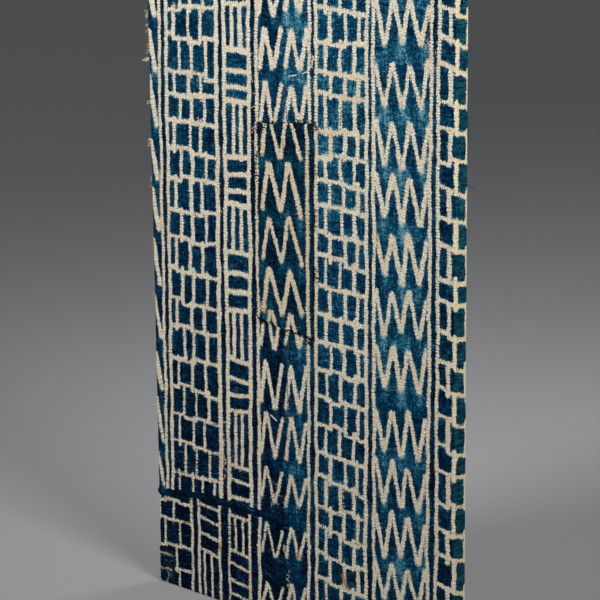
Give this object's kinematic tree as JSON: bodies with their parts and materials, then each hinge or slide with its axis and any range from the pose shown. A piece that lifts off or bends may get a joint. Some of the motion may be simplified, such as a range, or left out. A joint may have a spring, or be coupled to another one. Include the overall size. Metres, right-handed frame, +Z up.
{
  "type": "ndop cloth on a panel frame",
  "caption": "Indigo resist-dyed cotton cloth of sewn strips, patched and stretched round a plain wooden frame to make a standing panel.",
  "frame": {"origin": "on the surface the panel stands on, under the middle of its box", "axes": "+X along the panel's width, to the right of someone who faces it; the front faces -Y; +Z up the panel's height"},
  "size_m": [0.5021, 0.0212, 0.85],
  "materials": {
    "ndop_cotton": "matt hand-woven cotton, indigo with cream resist lines",
    "patch_cotton": "matt hand-woven cotton, darker indigo with tan resist lines",
    "corner_cotton": "matt hand-woven cotton, faded and darned",
    "frame_wood": "bare planed softwood"
  },
  "bodies": {
    "root": {"cloth": "ndop_cotton", "repair_patch": "patch_cotton", "corner_patch": "corner_cotton", "stile_left": "frame_wood", "stile_right": "frame_wood", "rail_bottom": "frame_wood", "rail_top": "frame_wood"}
  },
  "joints": []
}
